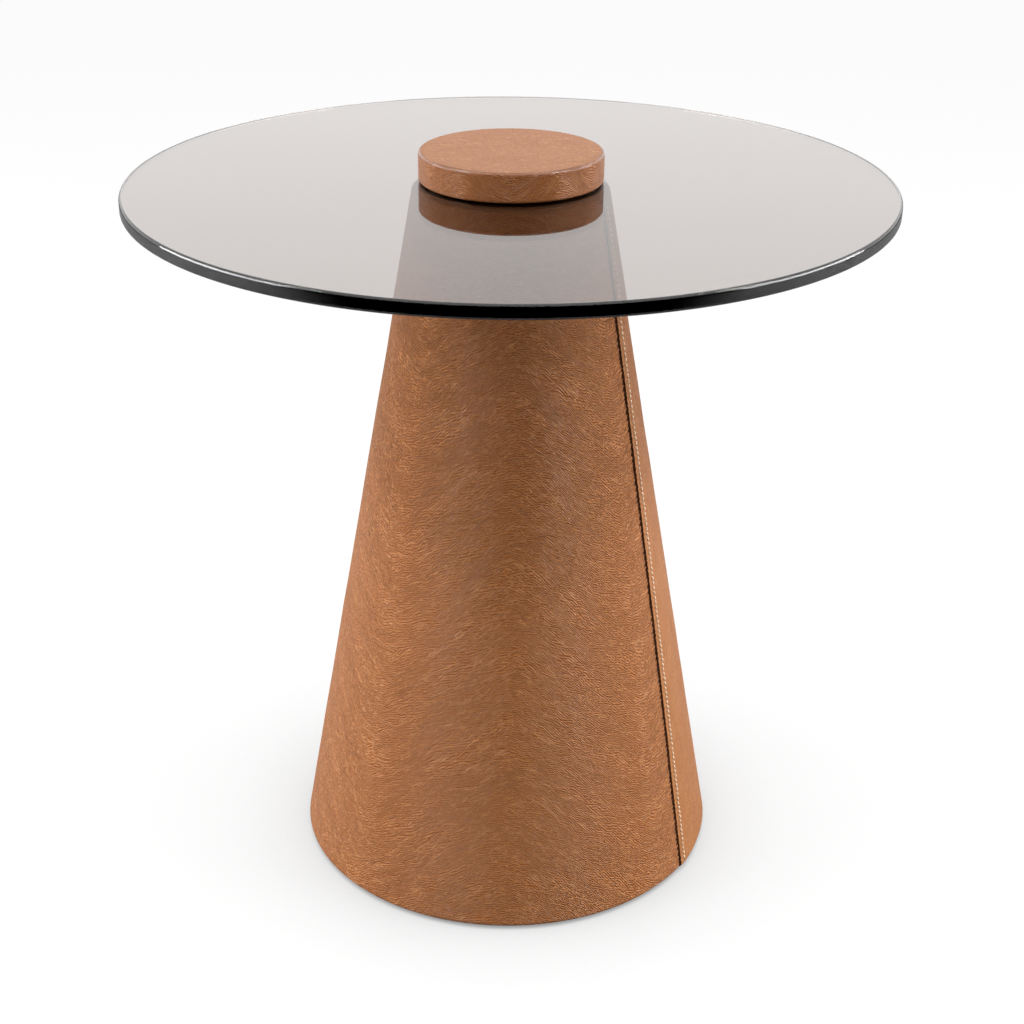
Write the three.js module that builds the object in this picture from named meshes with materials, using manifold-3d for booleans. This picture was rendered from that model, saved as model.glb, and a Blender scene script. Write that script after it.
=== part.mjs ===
// Round side table: a smoked glass disc clamped between a leather-wrapped cone and a leather-wrapped cap.
// Millimetres, +Z up. The origin is on the floor, on the axis of the cone; the front of the table faces -Y.
// The cap unscrews from a stud on the axis, and then the glass lifts off the cone.
import * as THREE from 'three';
import { mergeVertices } from 'three/addons/utils/BufferGeometryUtils.js';
import Module from 'manifold-3d';

// Driving sizes of the whole table
const tableHeight = 545;
const glassRadius = 280;
const glassThickness = 10;
const baseRadius = 168;
const neckRadius = 72;
const floorGap = 2;
const capRadius = 67.5;
const capRise = 22.5;

// Clearances shared by several pieces
const layerGap = 0.3;
const screwGap = 0.3;
const overrun = 5;

// Round pieces are faceted: many sides on the large ones, fewer on hardware
const glassSides = 96;
const coneSides = 72;
const capSides = 64;
const hardwareSides = 20;
const screwSides = 8;
const shownBendSteps = 3;
const hiddenBendSteps = 1;

const quarterTurn = Math.PI / 2;
const wholeTurn = Math.PI * 2;

const wasm = await Module();
wasm.setup();

// Turned solid: the outline holds [radius, height] points, counter-clockwise, and is closed back to its
// first point unless both of its ends lie on the axis.
function turned(outline, sides) {
  const points = outline.map(([radius, height]) => new THREE.Vector2(radius, height));
  const first = points[0];
  const last = points[points.length - 1];
  if (first.x > 0 || last.x > 0) {
    points.push(first.clone());
  }
  const geometry = new THREE.LatheGeometry(points, sides);
  geometry.rotateX(quarterTurn);
  return geometry;
}

function column(radius, from, to, sides) {
  return turned([[0, from], [radius, from], [radius, to], [0, to]], sides);
}

function flatRing(bore, radius, from, to, sides) {
  return turned([[bore, to], [bore, from], [radius, from], [radius, to]], sides);
}

// Points of an arc in an outline, from one angle to another, both measured from the outward direction
function arc(radius, height, bend, from, to, steps) {
  return Array.from({ length: steps + 1 }, (_, step) => {
    const angle = from + ((to - from) * step) / steps;
    return [radius + bend * Math.cos(angle), height + bend * Math.sin(angle)];
  });
}

function bendSteps(depth) {
  return depth > 0 ? hiddenBendSteps : shownBendSteps;
}

// A closed geometry as a solid that can be cut and joined
function solid(geometry) {
  const bare = geometry.clone();
  bare.deleteAttribute('normal');
  bare.deleteAttribute('uv');
  const welded = mergeVertices(bare);
  const corners = welded.index.array;
  const kept = [];
  for (let at = 0; at < corners.length; at += 3) {
    const [a, b, c] = [corners[at], corners[at + 1], corners[at + 2]];
    if (a !== b && b !== c && c !== a) {
      kept.push(a, b, c);
    }
  }
  const vertProperties = new Float32Array(welded.attributes.position.array);
  const triVerts = new Uint32Array(kept);
  return new wasm.Manifold(new wasm.Mesh({ numProp: 3, vertProperties, triVerts }));
}

// The geometry of a solid after its cuts
function shaped(body) {
  const mesh = body.getMesh();
  const geometry = new THREE.BufferGeometry();
  geometry.setAttribute('position', new THREE.BufferAttribute(mesh.vertProperties, 3));
  geometry.setIndex(new THREE.BufferAttribute(mesh.triVerts, 1));
  return geometry.toNonIndexed();
}

function cutBy(geometry, cutters) {
  return shaped(cutters.reduce((body, cutter) => body.subtract(solid(cutter)), solid(geometry)));
}

// Places spread evenly on a circle, as [x, y] points; start is the azimuth of the first one
function ring(count, radius, start) {
  return Array.from({ length: count }, (_, index) => {
    const azimuth = start + (wholeTurn * index) / count;
    return [radius * Math.cos(azimuth), radius * Math.sin(azimuth)];
  });
}

function movedTo([x, y], geometry) {
  return geometry.clone().translate(x, y, 0);
}

function material(color, roughness, metalness) {
  return new THREE.MeshStandardMaterial({ color, roughness, metalness });
}

const leatherFinish = material(0xb37a4e, 0.55, 0);
const threadFinish = material(0xd9ab82, 0.7, 0);
const plywoodFinish = material(0xc9a878, 0.75, 0);
const fibreboardFinish = material(0xa98a64, 0.85, 0);
const steelFinish = material(0x8f9396, 0.35, 0.9);
const castFinish = material(0x3a3b3d, 0.6, 0.7);
const nylonFinish = material(0x1d1d1e, 0.5, 0);
const felt = material(0x2a2725, 0.95, 0);
const rubberFinish = material(0x161616, 0.8, 0);
const glassFinish = new THREE.MeshStandardMaterial({
  color: 0x55504c,
  roughness: 0.03,
  metalness: 0,
  transparent: true,
  opacity: 0.4,
});

const table = new THREE.Group();

function add(name, geometry, finish) {
  const mesh = new THREE.Mesh(geometry, finish);
  mesh.name = name;
  table.add(mesh);
  return mesh;
}

// A screw seen from the side: cheese head on top, straight shank, pointed end. Heights are measured up
// from under the head. Grown by a clearance, the same outline is the hole that it sits in.
function screwOutline({ headRadius, headHeight, shankRadius, length }, grow) {
  return [
    [0, -length - grow],
    [shankRadius + grow, shankRadius - length - grow],
    [shankRadius + grow, 0],
    [headRadius + grow, 0],
    [headRadius + grow, headHeight],
    [0, headHeight],
  ];
}

// Adds a set of screws, seated at one height, and returns the holes that clear them. A screw that is
// driven upwards is the same piece turned over.
function addScrews(name, screw, places, seat, upwards) {
  const body = turned(screwOutline(screw, 0), screwSides);
  const hole = turned(screwOutline(screw, screwGap), screwSides);
  if (upwards) {
    body.rotateX(Math.PI);
    hole.rotateX(Math.PI);
  }
  body.translate(0, 0, seat);
  hole.translate(0, 0, seat);
  places.forEach((place, index) => add(`${name}_${index + 1}`, movedTo(place, body), steelFinish));
  return places.map((place) => movedTo(place, hole));
}

// Cone. Its side is one straight slope, and every layer under the leather is parallel to it.
const coverLeather = 1.6;
const gasketThickness = 2;
const pedestalTop = tableHeight - glassThickness - gasketThickness;
const coneSlope = (baseRadius - neckRadius) / (pedestalTop - floorGap);
const slant = Math.hypot(1, coneSlope);
const sideAngle = Math.atan(coneSlope);
const skinThickness = 5;
const edgeBend = 3.2;

function coneRadius(height, depth) {
  return baseRadius - coneSlope * (height - floorGap) - depth * slant;
}

// Outline of the cone at a depth below the leather's outer face, from the lower edge to the upper one
function coneSide(depth) {
  const bend = edgeBend - depth;
  const lower = floorGap + depth;
  const upper = pedestalTop - depth;
  if (bend <= 0) {
    return [[coneRadius(lower, depth), lower], [coneRadius(upper, depth), upper]];
  }
  const steps = bendSteps(depth);
  const middle = (lower + upper) / 2;
  return [
    ...arc(coneRadius(lower + bend, depth + bend), lower + bend, bend, -quarterTurn, sideAngle, steps),
    [coneRadius(middle, depth), middle],
    ...arc(coneRadius(upper - bend, depth + bend), upper - bend, bend, sideAngle, quarterTurn, steps),
  ];
}

const skinDepth = coverLeather + layerGap;
const frameDepth = skinDepth + skinThickness + layerGap;
const frameBase = floorGap + skinDepth;
const frameTop = pedestalTop - skinDepth;

function frameRadius(height) {
  return coneRadius(height, frameDepth);
}

// Bent plywood skin round the frame
const skinBore = skinDepth + skinThickness;
add('cone_skin', turned([
  [coneRadius(frameTop, skinBore), frameTop],
  [coneRadius(frameBase, skinBore), frameBase],
  ...coneSide(skinDepth),
], coneSides), plywoodFinish);

// Leather cover: one piece round the cone, turned under at both ends. Its right-hand end laps over its
// left-hand one: the cover stands a leather's thickness proud at the cut edge and sinks back beyond it.
const baseHem = 25;
const neckHem = 18;
const lapRise = coverLeather;
const lapFade = THREE.MathUtils.degToRad(14);
const lapColumns = 4;
const cutLean = 0.4;
const seamAtBase = THREE.MathUtils.degToRad(-32.5);
const seamAtNeck = THREE.MathUtils.degToRad(-26);

function seamAzimuth(height) {
  const share = (height - floorGap) / (pedestalTop - floorGap);
  return seamAtBase + (seamAtNeck - seamAtBase) * share;
}

// How far the cover stands proud at an angle past the cut edge
function lapHeight(offset) {
  return lapRise * Math.max(0, 1 - offset / lapFade);
}

// Angle from the seam to a column of the cover's points: close together at the lap, even elsewhere
function columnOffset(column) {
  if (column <= 1) {
    return (column * cutLean) / baseRadius;
  }
  if (column <= lapColumns) {
    return (lapFade * (column - 1)) / (lapColumns - 1);
  }
  return lapFade + ((wholeTurn - lapFade) * (column - lapColumns)) / (coneSides - lapColumns);
}

// A turned shell with the lap in it. Every column of points keeps to the slope of the seam on the outer
// face, less so the further it lies from it, and stands upright on the inner one.
function lappedShell(outerFace, innerFace) {
  const outline = [...outerFace, ...innerFace];
  const shell = turned(outline, coneSides);
  const rows = outline.length + 1;
  for (let column = 0; column <= coneSides; column++) {
    const offset = columnOffset(column);
    const follow = Math.abs(1 - offset / Math.PI);
    const rise = column === 0 ? 0 : lapHeight(offset);
    for (let row = 0; row < rows; row++) {
      const [turnRadius, height] = outline[row % outline.length];
      const shown = row % outline.length < outerFace.length;
      const radius = shown ? turnRadius + rise : turnRadius;
      const lean = shown ? follow * (seamAzimuth(height) - seamAtBase) : 0;
      const azimuth = seamAtBase + offset + lean;
      const x = radius * Math.cos(azimuth);
      const y = radius * Math.sin(azimuth);
      shell.attributes.position.setXYZ(column * rows + row, x, y, height);
    }
  }
  return shell;
}

add('leather_cover', lappedShell(coneSide(0), [
  [neckRadius - neckHem, pedestalTop],
  [neckRadius - neckHem, pedestalTop - coverLeather],
  ...coneSide(coverLeather).reverse(),
  [baseRadius - baseHem, floorGap + coverLeather],
  [baseRadius - baseHem, floorGap],
]), leatherFinish);

// Waxed thread of the seam, a row set in from the cut edge
const threadRadius = 0.5;
const threadSides = 6;
const threadSteps = 24;
const stitchInset = 6;
const threadEnd = 6;

function threadPoint(height) {
  const offset = stitchInset / coneRadius(height, 0);
  const azimuth = seamAzimuth(height) + offset;
  const radius = coneRadius(height, 0) + lapHeight(offset) + layerGap + threadRadius;
  return new THREE.Vector3(radius * Math.cos(azimuth), radius * Math.sin(azimuth), height);
}

const threadPath = new THREE.CatmullRomCurve3(Array.from({ length: threadSteps + 1 }, (_, step) => {
  const low = floorGap + threadEnd;
  const high = pedestalTop - threadEnd;
  return threadPoint(low + ((high - low) * step) / threadSteps);
}));
const threadSection = new THREE.Shape(Array.from({ length: threadSides }, (_, side) => {
  const angle = (wholeTurn * side) / threadSides;
  return new THREE.Vector2(threadRadius * Math.cos(angle), threadRadius * Math.sin(angle));
}));
add('seam_thread', new THREE.ExtrudeGeometry(threadSection, {
  steps: threadSteps,
  extrudePath: threadPath,
}), threadFinish);

// Nylon glides: they stand the cone just off the floor, inside the leather's lower hem
const footCount = 4;
const footStart = Math.PI / footCount;
const glideRadius = 14;
const glideMargin = 4;
const glideChamfer = 0.8;
const glideSeat = 2.4;
const footCircle = baseRadius - baseHem - glideMargin - glideRadius;
const footPlaces = ring(footCount, footCircle, footStart);
const glideHole = glideRadius + glideMargin / 2;
const bottomDiscThickness = 18;
const screwBiteShare = 0.65;
const glideScrew = {
  headRadius: 4.2,
  headHeight: 1.5,
  shankRadius: 2,
  length: frameBase - glideSeat + bottomDiscThickness * screwBiteShare,
};
const glideScrewHoles = addScrews('glide_screw', glideScrew, footPlaces, glideSeat, true);
const glide = turned([
  [glideScrew.shankRadius + screwGap, frameBase],
  [glideScrew.shankRadius + screwGap, glideSeat],
  [glideScrew.headRadius + screwGap, glideSeat],
  [glideScrew.headRadius + screwGap, 0],
  [glideRadius - glideChamfer, 0],
  [glideRadius, glideChamfer],
  [glideRadius, frameBase],
], hardwareSides);
footPlaces.forEach((place, index) => add(`glide_${index + 1}`, movedTo(place, glide), nylonFinish));

// Battens of the frame: boards set against the skin, between the two discs and the rib
const battenCount = 4;
const battenWidth = 40;
const battenDepth = 18;
const ribHeight = 266;
const ribThickness = 12;
const ribWidth = 34;
const topDiscThickness = 18;
const bottomDiscTop = frameBase + bottomDiscThickness;
const topDiscBase = frameTop - topDiscThickness;
const ribTop = ribHeight + ribThickness;

function addBattens(name, from, to) {
  const middle = (from + to) / 2;
  const length = (to - from) * slant + battenDepth * 2;
  const board = new THREE.BoxGeometry(battenDepth, battenWidth, length);
  board.translate(-battenDepth / 2, 0, 0);
  board.rotateY(-sideAngle);
  board.translate(frameRadius(middle), 0, middle);
  const bay = solid(turned([
    [0, from],
    [frameRadius(from), from],
    [frameRadius(to), to],
    [0, to],
  ], coneSides));
  for (let index = 0; index < battenCount; index++) {
    const turnedBoard = board.clone().rotateZ((wholeTurn * index) / battenCount);
    add(`${name}_${index + 1}`, shaped(solid(turnedBoard).intersect(bay)), plywoodFinish);
  }
}

addBattens('lower_batten', bottomDiscTop, ribHeight);
addBattens('upper_batten', ribTop, topDiscBase);

// Rib at half height: a plywood ring that keeps the skin round
add('middle_rib', turned([
  [frameRadius(ribHeight) - ribWidth, ribHeight],
  [frameRadius(ribHeight), ribHeight],
  [frameRadius(ribTop), ribTop],
  [frameRadius(ribHeight) - ribWidth, ribTop],
], coneSides), plywoodFinish);

// Steel ballast on the bottom disc, screwed down between the battens
const ballastThickness = 10;
const ballastMargin = 6;
const ballastScrewInset = 22;
const ballastTop = bottomDiscTop + ballastThickness;
const ballastRadius = frameRadius(ballastTop) - battenDepth * slant - ballastMargin;
const ballastPlaces = ring(footCount, ballastRadius - ballastScrewInset, footStart);
const ballastScrew = {
  headRadius: 6,
  headHeight: 4,
  shankRadius: 2.5,
  length: ballastThickness + bottomDiscThickness * screwBiteShare,
};
const ballastScrewHoles = addScrews('ballast_screw', ballastScrew, ballastPlaces, ballastTop, false);
add('ballast_plate', cutBy(
  column(ballastRadius, bottomDiscTop, ballastTop, coneSides),
  ballastScrewHoles,
), castFinish);

add('bottom_disc', cutBy(turned([
  [0, frameBase],
  [frameRadius(frameBase), frameBase],
  [frameRadius(bottomDiscTop), bottomDiscTop],
  [0, bottomDiscTop],
], coneSides), [...glideScrewHoles, ...ballastScrewHoles]), plywoodFinish);

// Dust cover: black cloth over the hem, cut out round the glides
const dustClothThickness = 0.6;
const dustClothInset = 9;
const dustBase = floorGap - dustClothThickness;
add('dust_cover', cutBy(
  column(baseRadius - dustClothInset, dustBase, floorGap, coneSides),
  footPlaces.map((place) => movedTo(place, column(glideHole, -overrun, overrun, hardwareSides))),
), felt);

// Cap, from the glass upwards: slip washer, felt, and a wooden core wrapped in leather
const capLeather = 1.5;
const capLift = 1;
const capHem = 14;
const capBend = 4.5;
const capFootBend = 2;
const capHemGap = 2;
const capFeltThickness = 0.8;
const capFeltBore = 9;
const capTop = tableHeight + capRise;
const capBase = tableHeight + capLift;
const coreBase = capBase + capLeather + layerGap;
const coreTop = capTop - capLeather - layerGap;
const feltBase = coreBase - capFeltThickness;

// Outline of the cap at a depth below the leather's outer face, from its lower edge to the axis on top
function capSide(depth) {
  const foot = Math.max(capFootBend - depth, layerGap);
  const bend = Math.max(capBend - depth, layerGap);
  const radius = capRadius - depth;
  const steps = bendSteps(depth);
  return [
    ...arc(radius - foot, capBase + depth + foot, foot, -quarterTurn, 0, steps),
    ...arc(radius - bend, capTop - depth - bend, bend, 0, quarterTurn, steps),
    [0, capTop - depth],
  ];
}

const coreDepth = capLeather + layerGap;
const capHemRadius = capRadius - capHem;
add('cap_leather', cutBy(
  turned([[0, capBase], ...capSide(0)], capSides),
  [
    turned([[0, capBase + capLeather], ...capSide(capLeather)], capSides),
    column(capHemRadius, capBase - overrun, capBase + overrun, capSides),
  ],
), leatherFinish);

// Threaded insert let into the underside of the core
const studRadius = 4.85;
const studPlay = 0.35;
const insertCover = 5.4;
const insertTipGap = 2;
const insertWall = 3;
const insertFlange = 17;
const insertFlangeThickness = 2;
const insertLength = coreTop - coreBase - insertCover;
const insertRadius = studRadius + studPlay + insertWall;
const insertScrewCount = 3;
const insertScrewCircle = (insertRadius + insertFlange) / 2;
const insertScrew = {
  headRadius: 2.6,
  headHeight: 1.2,
  shankRadius: 1.5,
  length: insertLength * screwBiteShare,
};
const insertPlaces = ring(insertScrewCount, insertScrewCircle, quarterTurn);
const insertScrewSeat = coreBase + insertScrew.headHeight;
const insertScrewHoles = addScrews('insert_screw', insertScrew, insertPlaces, insertScrewSeat, true);
add('cap_insert', cutBy(turned([
  [studRadius + studPlay, coreBase + insertLength],
  [studRadius + studPlay, coreBase],
  [insertFlange, coreBase],
  [insertFlange, coreBase + insertFlangeThickness],
  [insertRadius, coreBase + insertFlangeThickness],
  [insertRadius, coreBase + insertLength],
], hardwareSides), insertScrewHoles), steelFinish);

const insertRecess = insertFlangeThickness + layerGap;
add('cap_core', cutBy(turned([[0, coreBase], ...capSide(coreDepth)], capSides), [
  column(insertFlange + layerGap, coreBase - overrun, coreBase + insertRecess, hardwareSides),
  column(insertRadius + layerGap, coreBase - overrun, coreBase + insertLength + insertTipGap, hardwareSides),
  ...insertScrewHoles,
]), fibreboardFinish);

// Felt glued under the core, and the washer that it turns on; both stay inside the cap's hem
const washerBore = 12;
const padRadius = capHemRadius - capHemGap;
add('cap_felt', flatRing(capFeltBore, padRadius, feltBase, coreBase, capSides), felt);
add('slip_washer', flatRing(washerBore, padRadius, tableHeight, feltBase, capSides), nylonFinish);

// Stud flange: a steel plate with the centre stud welded on, let into the top disc
const flangeRadius = 40;
const flangeThickness = 4;
const flangeScrewInset = 10;
const studShort = 2;
const studChamfer = 1.2;
const studTop = coreBase + insertLength - studShort;
const flangeTop = frameTop;
const flangeBase = flangeTop - flangeThickness;
const flangeScrewCount = 4;
const flangeScrew = {
  headRadius: 4.5,
  headHeight: 2,
  shankRadius: 2.2,
  length: (topDiscThickness - flangeThickness) * screwBiteShare,
};
const flangePlaces = ring(flangeScrewCount, flangeRadius - flangeScrewInset, footStart);
const flangeScrewSeat = flangeTop - flangeScrew.headHeight;
const flangeScrewHoles = addScrews('flange_screw', flangeScrew, flangePlaces, flangeScrewSeat, false);
add('stud_flange', cutBy(turned([
  [0, flangeBase],
  [flangeRadius, flangeBase],
  [flangeRadius, flangeTop],
  [studRadius, flangeTop],
  [studRadius, studTop - studChamfer],
  [studRadius - studChamfer, studTop],
  [0, studTop],
], hardwareSides), flangeScrewHoles), steelFinish);

add('top_disc', cutBy(turned([
  [0, topDiscBase],
  [frameRadius(topDiscBase), topDiscBase],
  [frameRadius(frameTop), frameTop],
  [0, frameTop],
], coneSides), [
  column(flangeRadius + layerGap, flangeBase, frameTop + overrun, hardwareSides),
  ...flangeScrewHoles,
]), plywoodFinish);

// Rubber gasket between the cone and the glass
const gasketInset = 6;
const gasketBore = 28;
const gasketRadius = neckRadius - gasketInset;
add('lower_gasket', flatRing(gasketBore, gasketRadius, pedestalTop, pedestalTop + gasketThickness, coneSides),
  rubberFinish);

// Glass top: toughened disc with a rounded, polished edge and a hole for the stud. A ring of points just
// outside the cap divides its upper face.
const glassBase = pedestalTop + gasketThickness;
const glassHole = 10;
const glassEdgeBend = 4;
const glassEdge = glassRadius - glassEdgeBend;
const bareRing = capRadius * 1.2;
add('glass_top', turned([
  [glassHole, tableHeight],
  [glassHole, glassBase],
  ...arc(glassEdge, glassBase + glassEdgeBend, glassEdgeBend, -quarterTurn, 0, shownBendSteps),
  ...arc(glassEdge, tableHeight - glassEdgeBend, glassEdgeBend, 0, quarterTurn, shownBendSteps),
  [bareRing, tableHeight],
], glassSides), glassFinish);

// Nylon sleeve that keeps the stud off the glass
const sleeveBore = studRadius + studPlay * 2;
add('hole_sleeve', flatRing(sleeveBore, glassHole - layerGap, glassBase, tableHeight, hardwareSides),
  nylonFinish);

export default table;
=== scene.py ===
import math

import bpy
import numpy as np
from mathutils import Matrix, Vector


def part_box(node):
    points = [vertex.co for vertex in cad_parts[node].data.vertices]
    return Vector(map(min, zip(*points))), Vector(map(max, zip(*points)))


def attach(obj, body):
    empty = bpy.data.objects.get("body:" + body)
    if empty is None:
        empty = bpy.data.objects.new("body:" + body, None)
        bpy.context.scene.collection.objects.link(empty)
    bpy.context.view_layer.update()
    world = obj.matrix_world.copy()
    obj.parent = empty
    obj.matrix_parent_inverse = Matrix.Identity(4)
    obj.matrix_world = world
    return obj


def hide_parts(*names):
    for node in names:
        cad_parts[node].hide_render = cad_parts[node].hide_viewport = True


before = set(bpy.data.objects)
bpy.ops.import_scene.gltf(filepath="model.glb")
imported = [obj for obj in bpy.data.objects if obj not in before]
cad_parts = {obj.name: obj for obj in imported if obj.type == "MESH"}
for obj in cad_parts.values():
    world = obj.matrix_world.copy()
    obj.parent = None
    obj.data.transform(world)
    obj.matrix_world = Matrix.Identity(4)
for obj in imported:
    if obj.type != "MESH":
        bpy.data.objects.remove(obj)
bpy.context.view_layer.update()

# Camera. It stands in front of the table, above the glass, and looks down at the middle of the cone,
# with the photograph's small tilt to one side. The focal length is in pixels of the 1024-pixel frame.
FRAME_PIXELS = 1024
FOCAL_PIXELS = 1784
SENSOR_MM = 36.0
CAMERA_PLACE = (0.0, -1.275, 0.8835)
CAMERA_PITCH = 0.4434
CAMERA_YAW = 0.0021
CAMERA_ROLL = 0.0083

camera = bpy.data.objects.new("camera", bpy.data.cameras.new("camera"))
camera.data.sensor_width = SENSOR_MM
camera.data.lens = SENSOR_MM * FOCAL_PIXELS / FRAME_PIXELS
pitched = Matrix.Rotation(math.pi / 2 - CAMERA_PITCH, 4, "X")
rolled = Matrix.Rotation(CAMERA_ROLL, 4, "Z")
camera.matrix_world = (
    Matrix.Translation(CAMERA_PLACE) @ Matrix.Rotation(-CAMERA_YAW, 4, "Z") @ pitched @ rolled
)
bpy.context.scene.collection.objects.link(camera)
bpy.context.scene.camera = camera
bpy.context.scene.view_settings.view_transform = "Standard"


# Studio. A white room that is dark in front, where the photographer stands, with a wide softbox at each
# side and a strip light above and before it for the rims. Camera rays see plain white; the room's own
# light is softer than it looks.
ROOM_AMBIENT_SIDE = 0.06
ROOM_AMBIENT_TOP = 0.95
ROOM_GAP_EDGES = (-0.55, 0.3)
ROOM_BACKDROP_EDGES = (0.20, 0.36)
ROOM_BACKDROP_LEVELS = (1.42, 1.2)
ROOM_CEILING_EDGES = (0.6, 0.9)
LAMP_AIM = (0.0, 0.0, 0.32)
# Name, place, width and height, and watts.
LAMPS = (
    ("softbox_left", (-2.5, -0.2, 0.92), (2.3, 1.5), 83),
    ("softbox_right", (2.5, -0.12, 0.92), (2.3, 1.5), 76),
    ("strip_left", (-1.06, -0.28, 1.58), (0.6, 0.05), 4.6),
    ("strip_right", (1.06, -0.28, 1.58), (0.6, 0.05), 4.6),
)
FLOOR_SPAN = 60.0
FLOOR_TONE = 0.3
FLOOR_FRONT_EDGES = (-1.4, -0.7)
FLOOR_SEEN_TONE = 0.12
FLOOR_GLOW = 0.87
FLOOR_CONTACT_REACH = 0.22
FLOOR_CONTACT_SHADE = 0.7


def node(tree, kind, inputs, **settings):
    """Adds a shader node, sets its properties, and sets or links its inputs by name or number."""
    made = tree.nodes.new("ShaderNode" + kind)
    for name, value in settings.items():
        setattr(made, name, value)
    for key, value in inputs.items():
        if isinstance(value, bpy.types.NodeSocket):
            tree.links.new(value, made.inputs[key])
        else:
            made.inputs[key].default_value = value
    return made


def maths(tree, operation, first, second=0.0, third=0.0):
    """One operation on two or three values."""
    return node(tree, "Math", {0: first, 1: second, 2: third}, operation=operation).outputs[0]


def ramp(tree, value, low, high, from_value=0.0, to_value=1.0):
    """Maps a value smoothly from one range to another and holds it at the ends."""
    inputs = {"Value": value, "From Min": low, "From Max": high, "To Min": from_value, "To Max": to_value}
    return node(tree, "MapRange", inputs, interpolation_type="SMOOTHSTEP").outputs[0]


def seen_directly(tree):
    """1 for a ray from the camera, also through glass, but not for light on its way to a dull surface."""
    path = node(tree, "LightPath", {}).outputs
    through = maths(tree, "MULTIPLY", path["Is Transmission Ray"],
                    maths(tree, "LESS_THAN", path["Diffuse Depth"], 0.5))
    return maths(tree, "MAXIMUM", path["Is Camera Ray"], through)


room = bpy.data.worlds.new("room")
bpy.context.scene.world = room
room.use_nodes = True
tree = room.node_tree
tree.nodes.clear()
heading = node(tree, "SeparateXYZ", {0: node(tree, "TexCoord", {}).outputs["Generated"]}).outputs
ambient = ramp(tree, heading["Z"], 0.0, 1.0, ROOM_AMBIENT_SIDE, ROOM_AMBIENT_TOP)
backdrop = ramp(tree, heading["Z"], *ROOM_BACKDROP_EDGES, *ROOM_BACKDROP_LEVELS)
gap = ramp(tree, maths(tree, "ADD", heading["Y"], heading["Z"]), *ROOM_GAP_EDGES)
ceiling = ramp(tree, heading["Z"], *ROOM_CEILING_EDGES)
mirror = maths(tree, "MAXIMUM", maths(tree, "MULTIPLY", backdrop, gap), ceiling)
mirrored = node(tree, "LightPath", {}).outputs["Is Glossy Ray"]
lit = node(tree, "Mix", {0: mirrored, 2: ambient, 3: mirror}, data_type="FLOAT").outputs[0]
level = maths(tree, "MAXIMUM", lit, seen_directly(tree))
background = node(tree, "Background", {"Color": (1, 1, 1, 1), "Strength": level})
node(tree, "OutputWorld", {"Surface": background.outputs[0]})

for name, place, size, watts in LAMPS:
    lamp = bpy.data.lights.new(name, "AREA")
    lamp.shape = "RECTANGLE"
    lamp.size, lamp.size_y = size
    lamp.energy = watts
    softbox = bpy.data.objects.new(name, lamp)
    facing = np.array(place) - LAMP_AIM
    turn = math.atan2(facing[1], facing[0]) + math.pi / 2
    tilt = math.atan2(math.hypot(facing[0], facing[1]), facing[2])
    softbox.location = place
    softbox.rotation_euler = (tilt, 0.0, turn)
    bpy.context.scene.collection.objects.link(softbox)


def new_material(name):
    """An empty node material and its tree."""
    made = bpy.data.materials.new(name)
    made.use_nodes = True
    made.node_tree.nodes.clear()
    return made, made.node_tree


floor_mesh = bpy.data.meshes.new("floor")
half = FLOOR_SPAN / 2
floor_mesh.from_pydata(
    [(-half, -half, 0), (half, -half, 0), (half, half, 0), (-half, half, 0)], [], [(0, 1, 2, 3)]
)
floor = bpy.data.objects.new("floor", floor_mesh)
bpy.context.scene.collection.objects.link(floor)
white_floor, tree = new_material("white_floor")
seen = seen_directly(tree)
spot = node(tree, "SeparateXYZ", {0: node(tree, "TexCoord", {}).outputs["Object"]}).outputs
front = ramp(tree, spot["Y"], *FLOOR_FRONT_EDGES, 0.0, FLOOR_TONE)
mirrored = node(tree, "LightPath", {}).outputs["Is Glossy Ray"]
lit_tone = node(tree, "Mix", {0: mirrored, 2: FLOOR_TONE, 3: front}, data_type="FLOAT").outputs[0]
tone = node(tree, "Mix", {0: seen, 2: lit_tone, 3: FLOOR_SEEN_TONE}, data_type="FLOAT").outputs[0]
grey = node(tree, "CombineColor", {0: tone, 1: tone, 2: tone}).outputs[0]
paint = node(tree, "BsdfDiffuse", {"Color": grey})
# Painted contact shadow: the floor's glow is dimmed near the table by an occlusion test, not by the lamps.
open_sky = node(tree, "AmbientOcclusion", {"Distance": FLOOR_CONTACT_REACH}, samples=8).outputs["AO"]
unshaded = ramp(tree, open_sky, 0.0, 1.0, 1.0 - FLOOR_CONTACT_SHADE, 1.0)
glow_level = maths(tree, "MULTIPLY", maths(tree, "MULTIPLY", seen, unshaded), FLOOR_GLOW)
glow = node(tree, "Emission", {"Color": (1, 1, 1, 1), "Strength": glow_level})
floor_surface = node(tree, "AddShader", {0: paint.outputs[0], 1: glow.outputs[0]})
node(tree, "OutputMaterial", {"Surface": floor_surface.outputs[0]})
floor_mesh.materials.append(white_floor)


# Frame of the cone. Birch plywood discs and a ring, joined by softwood battens and closed by a skin of
# bending plywood; raw, glued and pinned. All of it is hidden inside the leather.
PLY_THICKNESS = 0.0015
PLY_LIGHT = (0.62, 0.43, 0.25, 1)
PLY_DARK = (0.40, 0.24, 0.12, 1)
PLY_BAND_SHARE = 0.45
PLY_GRAIN_SHARE = 0.5
PLY_GRAIN_STRETCH = (1, 14, 14)
PINE_GRAIN_STRETCH = (18, 18, 1)
PINE_LIGHT = (0.66, 0.46, 0.26, 1)
PINE_DARK = (0.47, 0.28, 0.13, 1)


def mixed(tree, factor, first, second):
    """A colour between two others."""
    return node(tree, "Mix", {0: factor, 6: first, 7: second}, data_type="RGBA").outputs[2]


def mapped(tree, source, turn=(0, 0, 0), scale=(1, 1, 1)):
    """Coordinates turned and stretched, so that a pattern on them is turned back and shrunk."""
    return node(tree, "Mapping", {"Vector": source, "Rotation": turn, "Scale": scale}).outputs[0]


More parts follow.
